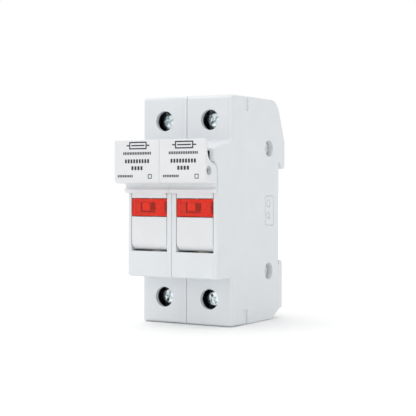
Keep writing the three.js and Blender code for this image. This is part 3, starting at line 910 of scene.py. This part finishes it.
def build_screw(pole, level, z):
    """A cheese-head screw with a combined slot and cross recess."""
    centre = Vector((POLE_X[pole], 0, z))
    head = bmesh.new()
    lathe(head, head_profile(), centre, "Y", 64)
    turn = SCREW_TURNS[f"{pole}_{level}"]
    slot = blade(centre, turn, half_length=3.3, depth=0.9, taper=1.0)
    head = subtract(head, slot)
    cross = blade(centre, turn + math.pi / 2, half_length=2.1, depth=1.5, taper=0.55)
    head = subtract(head, cross)
    add_threads(head, centre)
    node = f"{pole}_terminal_screw_{level}"
    screw = emit(f"{pole}_screw_{level}", head, body_of(node), "zinc_steel", node, sharp=math.radians(35))
    # The screw heads take the lighter copy of the zinc, painted brighter.
    screw.data.materials[0] = LIGHTENED_SCREW_ZINC


def head_profile():
    """A domed front with a rounded rim, and a small collar at the rear."""
    rim = HEAD_RADIUS
    return [
        (0, HEAD_FRONT), (1.9, HEAD_FRONT + 0.02), (2.6, HEAD_FRONT + 0.12), (rim - 0.2, HEAD_FRONT + 0.3),
        (rim - 0.03, HEAD_FRONT + 0.6), (rim, HEAD_FRONT + 0.9), (rim, HEAD_REAR - 0.25),
        (rim - 0.15, HEAD_REAR - 0.1), (2.6, HEAD_REAR - 0.1), (2.35, HEAD_REAR + 0.1), (0, HEAD_REAR + 0.1),
    ]


def blade(centre, turn, half_length, depth, taper):
    """One arm pair of the driver's recess, whose length narrows by taper at its floor."""
    cutter = bmesh.new()
    spin = Matrix.Rotation(turn, 3, "Y")
    rings = []
    for y, scale in ((HEAD_FRONT - 0.5, 1.0), (HEAD_FRONT + depth, taper)):
        corners = ((-1, -1), (1, -1), (1, 1), (-1, 1))
        points = [Vector((sx * half_length * scale, y, sz * SLOT_HALF_WIDTH)) for sx, sz in corners]
        rings.append(add_ring(cutter, [centre + spin @ point for point in points]))
    skin(cutter, rings)
    return cutter


def add_threads(solid, centre):
    """A helical thread as one closed skin from the head to the tip."""
    around, per_pitch = 20, 4
    run_out = 0.8
    start, end = HEAD_REAR - 0.3, SHANK_END
    rows = int((end - start) / THREAD_PITCH * per_pitch)
    rings = []
    for row in range(rows + 1):
        y = start + (end - start) * row / rows
        fade = min(1, (end - y) / run_out)
        points = []
        for column in range(around):
            angle = 2 * math.pi * column / around
            phase = (y / THREAD_PITCH - column / around) % 1
            crest = 1 - abs(2 * phase - 1)
            radius = THREAD_MINOR + (THREAD_MAJOR - THREAD_MINOR) * crest * fade - 0.25 * (1 - fade)
            points.append(centre + Vector((radius * math.cos(angle), y, radius * math.sin(angle))))
        rings.append(add_ring(solid, points))
    skin(solid, rings)


# --- Rail clip and pins --------------------------------------------------

SPRING_TURNS = 6
SPRING_WIRE = 0.25
WIRE_SIDES = 8


def build_rail_clip(pole):
    soften(f"{pole}_rail_clip", even(0.3), f"{pole}_clip_moulding")
    build_clip_spring(pole)


def build_clip_spring(pole):
    """A coil spring in the place of the CAD's spring, built at its length."""
    node = f"{pole}_rail_clip_spring"
    low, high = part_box(node)
    axis = (low + high) / 2 / MM - Vector((0, FRONT, 0))
    radius = (high.x - low.x) / 2 / MM - SPRING_WIRE
    solid = bmesh.new()
    skin(solid, coil_rings(solid, axis, radius, low.z / MM + SPRING_WIRE, high.z / MM - SPRING_WIRE))
    spring = emit(f"{pole}_clip_spring", solid, body_of(node), "spring_steel", node, sharp=math.radians(60))
    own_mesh(spring)


def coil_rings(solid, axis, radius, bottom, top):
    """Rings of the wire from bottom to top, with one closed turn at each end."""
    steps = SPRING_TURNS * 20
    closed = 2.1 * SPRING_WIRE
    rings = []
    for step in range(steps + 1):
        turns = SPRING_TURNS * step / steps
        angle = 2 * math.pi * turns
        middle = min(max((turns - 1) / (SPRING_TURNS - 2), 0), 1)
        rise = closed * (min(turns, 1) + max(turns - SPRING_TURNS + 1, 0))
        z = bottom + rise + (top - bottom - 2 * closed) * middle
        points = []
        for side in range(WIRE_SIDES):
            around = 2 * math.pi * side / WIRE_SIDES
            reach = radius + SPRING_WIRE * math.cos(around)
            points.append((
                axis.x + reach * math.cos(angle),
                axis.y + reach * math.sin(angle),
                z + SPRING_WIRE * math.sin(around),
            ))
        rings.append(add_ring(solid, points))
    return rings


def build_pins():
    for level in ("lower", "upper"):
        round_pin(f"pole_pin_{level}", f"joining_pin_{level}", 2.6, "pin_plastic")
    round_pin("handle_tie_pin", "tie_pin", 1.23, "zinc_steel")


def round_pin(node, name, radius, slot):
    """A pin along X with chamfered ends and a shallow dimple in each."""
    low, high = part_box(node)
    centre = (low + high) / 2 / MM - Vector((0, FRONT, 0))
    half = (high.x - low.x) / 2 / MM
    chamfer = radius * 0.12
    dimple = radius * 0.45
    floor = half - 0.3
    right = [(radius, half - chamfer), (radius - chamfer, half), (dimple + 0.1, half), (dimple, floor)]
    profile = [(0, -floor)] + [(r, -x) for r, x in reversed(right)] + right + [(0, floor)]
    solid = bmesh.new()
    lathe(solid, profile, centre, "X", 48)
    emit(name, solid, body_of(node), slot, node)


# --- Stage ---------------------------------------------------------------

# Fitted to the photograph: yaw, pitch and roll in degrees, the place in millimetres, and the lens.
CAMERA_TURNS = (30.38, -0.83, 0.19)
CAMERA_PLACE = (198.57, -314.6 + FRONT, 45.26)
CAMERA_LENS = 96.26
FLOOR_HALF = 20000
FLOOR_DROP = 0.1
ROOM_LEVEL = 0.86
ROOM_SLOPE = (-0.12, -0.03, 0.17)
SUN_STRENGTH = 0.76
SUN_ANGLE = 60
SUN_TILT = (8, -14, 0)


def build_camera():
    """The photograph's viewpoint: about 30 degrees round to the right, near the object's middle height."""
    yaw, pitch, roll = (math.radians(angle) for angle in CAMERA_TURNS)
    data = bpy.data.cameras.new("camera")
    data.lens = CAMERA_LENS
    data.clip_start = 0.01
    camera = bpy.data.objects.new("camera", data)
    ahead = Vector((-math.sin(yaw) * math.cos(pitch), math.cos(yaw) * math.cos(pitch), math.sin(pitch)))
    level = Vector((math.cos(yaw), math.sin(yaw), 0))
    up = level.cross(ahead)
    right = math.cos(roll) * level + math.sin(roll) * up
    tilted = -math.sin(roll) * level + math.cos(roll) * up
    place = Vector(CAMERA_PLACE) * MM
    camera.matrix_world = Matrix.Translation(place) @ Matrix((right, tilted, -ahead)).transposed().to_4x4()
    bpy.context.scene.collection.objects.link(camera)
    bpy.context.scene.camera = camera


def build_floor():
    half = FLOOR_HALF * MM
    z = -FLOOR_DROP * MM
    mesh = bpy.data.meshes.new("floor")
    corners = [(-half, -half, z), (half, -half, z), (half, half, z), (-half, half, z)]
    mesh.from_pydata(corners, [], [(0, 1, 2, 3)])
    floor = bpy.data.objects.new("floor", mesh)
    bpy.context.scene.collection.objects.link(floor)
    surface = Surface("studio_floor", (0.93, 0.93, 0.93), 0.7)
    surface.vary_color(surface.noise(60, 2), 0.005)
    surface.vary_roughness(surface.noise(30, 2), 0.05)
    mesh.materials.append(surface.material)


def build_lights():
    """A soft sun from above, in a room that is brightest overhead and looks plain white to the camera."""
    world = bpy.data.worlds.new("studio")
    bpy.context.scene.world = world
    world.use_nodes = True
    tree = world.node_tree
    direction = tree.nodes.new("ShaderNodeTexCoord").outputs["Generated"]
    slope = tree.nodes.new("ShaderNodeVectorMath")
    slope.operation = "DOT_PRODUCT"
    slope.inputs[1].default_value = ROOM_SLOPE
    tree.links.new(direction, slope.inputs[0])
    level = tree.nodes.new("ShaderNodeMath")
    level.operation = "ADD"
    level.inputs[1].default_value = ROOM_LEVEL
    tree.links.new(slope.outputs["Value"], level.inputs[0])
    light_path = tree.nodes.new("ShaderNodeLightPath")
    strength = tree.nodes.new("ShaderNodeMath")
    strength.operation = "MAXIMUM"
    tree.links.new(level.outputs["Value"], strength.inputs[0])
    tree.links.new(light_path.outputs["Is Camera Ray"], strength.inputs[1])
    background = tree.nodes["Background"]
    background.inputs["Color"].default_value = (1, 1, 1, 1)
    tree.links.new(strength.outputs["Value"], background.inputs["Strength"])
    sun = bpy.data.lights.new("overhead", "SUN")
    sun.energy = SUN_STRENGTH
    sun.angle = math.radians(SUN_ANGLE)
    lamp = bpy.data.objects.new("overhead", sun)
    lamp.rotation_euler = [math.radians(angle) for angle in SUN_TILT]
    bpy.context.scene.collection.objects.link(lamp)
    bpy.context.scene.view_settings.view_transform = "Standard"


build_camera()
build_floor()
build_lights()
for pole in POLE_X:
    build_housing(pole)
    build_carrier(pole)
    build_indicator(pole)
    build_fuse(pole)
    build_contacts(pole)
    build_terminals(pole)
    build_rail_clip(pole)
build_pins()
